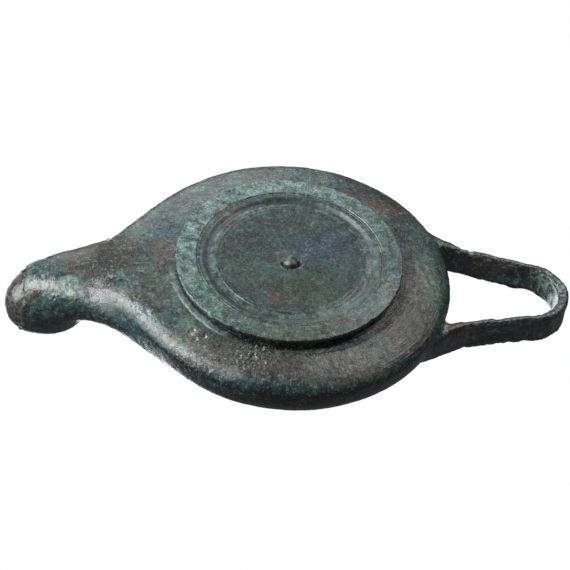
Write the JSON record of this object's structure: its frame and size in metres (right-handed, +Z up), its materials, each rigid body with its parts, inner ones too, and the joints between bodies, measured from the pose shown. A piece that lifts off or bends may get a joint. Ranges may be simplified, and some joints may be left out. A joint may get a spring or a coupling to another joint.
{
  "type": "oil lamp",
  "caption": "Ancient bronze oil lamp: a low hollow round body on a turned foot, a rising nozzle with a bulbous end and an open loop handle of flat strap.",
  "frame": {"origin": "middle of the plane that the round foot stands on", "axes": "+Z up, +X along the nozzle, so the handle is at -X"},
  "size_m": [0.1923, 0.1094, 0.0318],
  "materials": {
    "bronze": "cast bronze under a mottled green, grey and brown patina, satin"
  },
  "bodies": {
    "root": {"lamp": "bronze"}
  },
  "joints": []
}
